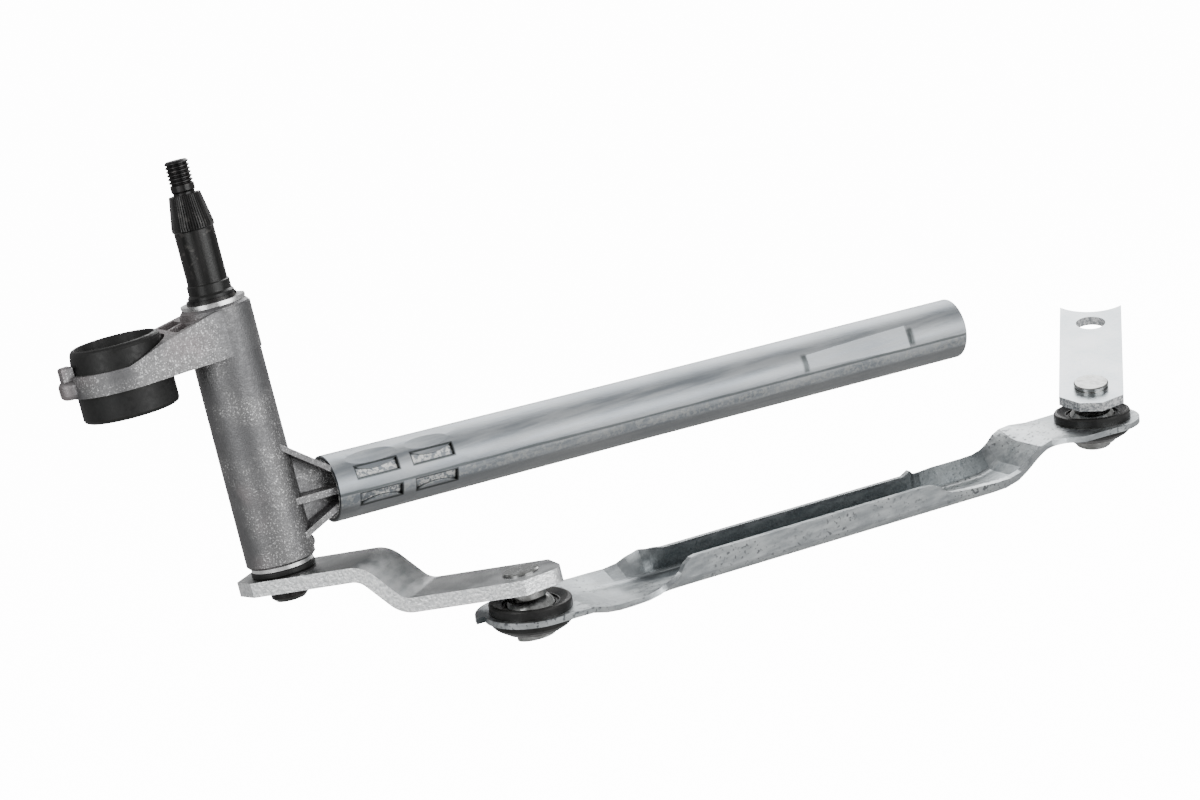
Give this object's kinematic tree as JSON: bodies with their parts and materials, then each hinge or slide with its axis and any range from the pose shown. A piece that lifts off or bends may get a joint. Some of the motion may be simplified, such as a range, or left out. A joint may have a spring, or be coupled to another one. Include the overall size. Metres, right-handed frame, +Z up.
{
  "type": "windshield wiper linkage",
  "caption": "Wiper pivot with a threaded, knurled spindle in a cast housing on a frame tube, its crank lever, a channel connecting rod with ball joints and a motor crank.",
  "frame": {"origin": "on the wiper spindle's axis at the middle of its threaded stud", "axes": "+Z up the spindle out of its threaded end, +X along the frame tube seen from above"},
  "size_m": [0.4081, 0.098, 0.187],
  "materials": {
    "cast_aluminium": "as-cast, fine grain, slightly sparkling",
    "sintered_bronze": "sintered, oil filled",
    "black_rubber": "satin moulded rubber",
    "zinc_bright": "bright zinc plate, turned",
    "black_steel": "black phosphate, oiled",
    "galvanised_tube": "galvanised, drawn lengthwise",
    "zinc_plate": "zinc plated pressing, grainy cut edges",
    "galvanised_sheet": "galvanised pressed sheet",
    "black_plastic": "smooth black moulding"
  },
  "bodies": {
    "housing": {"pivot_housing": "cast_aluminium", "upper_bush": "sintered_bronze", "lower_bush": "sintered_bronze", "grease_seal": "black_rubber", "frame_tube": "galvanised_tube", "body_grommet": "black_rubber", "upper_thrust_washer": "zinc_bright", "lower_thrust_washer": "zinc_bright"},
    "spindle": {"wiper_spindle": "black_steel", "retaining_ring": "black_steel", "dust_collar": "black_plastic", "lower_seal_ring": "black_rubber", "crank_arm": "zinc_plate", "arm_ball_stud": "zinc_bright"},
    "rod": {"connecting_rod": "galvanised_sheet", "arm_end_socket": "black_plastic", "arm_end_boot": "black_rubber", "motor_end_socket": "black_plastic", "motor_end_boot": "black_rubber"},
    "motor_lever": {"motor_crank": "zinc_plate", "motor_ball_stud": "zinc_bright"}
  },
  "joints": [
    {"name": "spindle_turn", "type": "hinge", "parent": "housing", "child": "spindle", "pos_m": [0, 0, 0], "axis": [0, 0, 1], "range_deg": [-50, 50]},
    {"name": "rod_swing", "type": "hinge", "parent": "spindle", "child": "rod", "pos_m": [0.0561, -0.06144, -0.1641], "axis": [0, 0, 1], "range_deg": [-60, 60]},
    {"name": "motor_lever_turn", "type": "hinge", "parent": "rod", "child": "motor_lever", "pos_m": [0.29731, -0.04679, -0.17389], "axis": [-0.016, -0.2853, 0.9583], "continuous": true}
  ]
}
